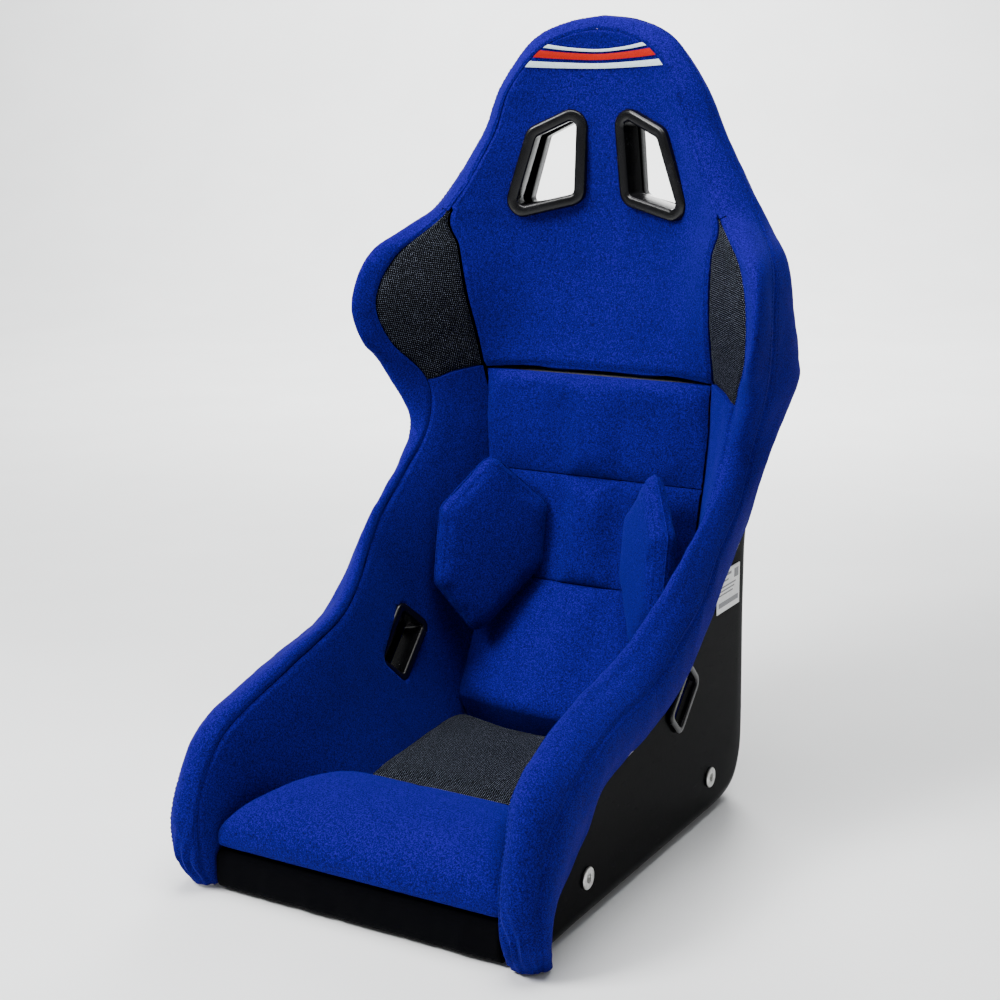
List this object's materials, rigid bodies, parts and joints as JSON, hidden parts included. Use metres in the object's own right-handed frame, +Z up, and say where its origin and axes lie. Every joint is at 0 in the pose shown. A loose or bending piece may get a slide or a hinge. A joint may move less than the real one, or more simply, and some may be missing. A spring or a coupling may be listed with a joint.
{
  "type": "bucket seat",
  "caption": "Fixed-back racing bucket seat with a padded cloth cover, loose cushions, kidney pads and moulded openings for harness belts.",
  "frame": {"origin": "on the floor under the shell, midway between the four side-mount inserts", "axes": "+Z up, the occupant faces -Y, +X is at the occupant's left hand"},
  "size_m": [0.507, 0.5851, 0.8672],
  "materials": {
    "blue_felt": "brushed felt-like knit, matt with a soft sheen",
    "black_mesh": "spacer mesh with a fine grey fleck",
    "black_cloth": "plain black cloth",
    "gloss_shell": "fibreglass with a gloss black gel coat",
    "moulded_trim": "semi-gloss moulded plastic",
    "zinc_steel": "zinc-plated steel",
    "label_white": "printed self-adhesive film with plain bars",
    "stripe_pale": "flat sewn band",
    "stripe_red": "flat sewn band",
    "hook_tape": "hook tape",
    "grey_foam": "open-cell foam"
  },
  "bodies": {
    "seat_frame": {"seat_shell": "gloss_shell", "base_foam": "grey_foam", "back_lining": "grey_foam", "front_lip": "black_cloth", "back_cushion_lower": "blue_felt", "back_cushion_middle": "blue_felt", "back_cushion_upper": "blue_felt", "upper_back_pad": "blue_felt", "head_cover": "blue_felt", "head_stripe_upper": "stripe_pale", "head_stripe_middle": "stripe_red", "head_stripe_lower": "stripe_pale", "info_label": "label_white", "side_pad_left": "blue_felt", "rim_roll_left": "blue_felt", "shoulder_mesh_left": "black_mesh", "belt_trim_front_left": "moulded_trim", "belt_trim_rear_left": "moulded_trim", "lap_trim_inner_left": "moulded_trim", "lap_trim_outer_left": "moulded_trim", "side_insert_front_left": "zinc_steel", "side_insert_rear_left": "zinc_steel", "back_tape_left": "hook_tape", "side_pad_right": "blue_felt", "rim_roll_right": "blue_felt", "shoulder_mesh_right": "black_mesh", "belt_trim_front_right": "moulded_trim", "belt_trim_rear_right": "moulded_trim", "lap_trim_inner_right": "moulded_trim", "lap_trim_outer_right": "moulded_trim", "side_insert_front_right": "zinc_steel", "side_insert_rear_right": "zinc_steel", "back_tape_right": "hook_tape", "seat_tape_front": "hook_tape", "seat_tape_rear": "hook_tape"},
    "base_cushion": {"seat_cushion": "black_mesh", "thigh_cushion": "blue_felt"},
    "kidney_left": {"kidney_pad_left": "blue_felt"},
    "kidney_right": {"kidney_pad_right": "blue_felt"}
  },
  "joints": [
    {"name": "base_cushion_lift", "type": "slide", "parent": "seat_frame", "child": "base_cushion", "axis": [0, 0, 1], "range_m": [0, 0.14]},
    {"name": "kidney_left_slide", "type": "slide", "parent": "seat_frame", "child": "kidney_left", "axis": [0, 0.1806, 0.9835], "range_m": [-0.008, 0.03]},
    {"name": "kidney_right_slide", "type": "slide", "parent": "seat_frame", "child": "kidney_right", "axis": [0, 0.1806, 0.9835], "range_m": [-0.008, 0.03]}
  ]
}
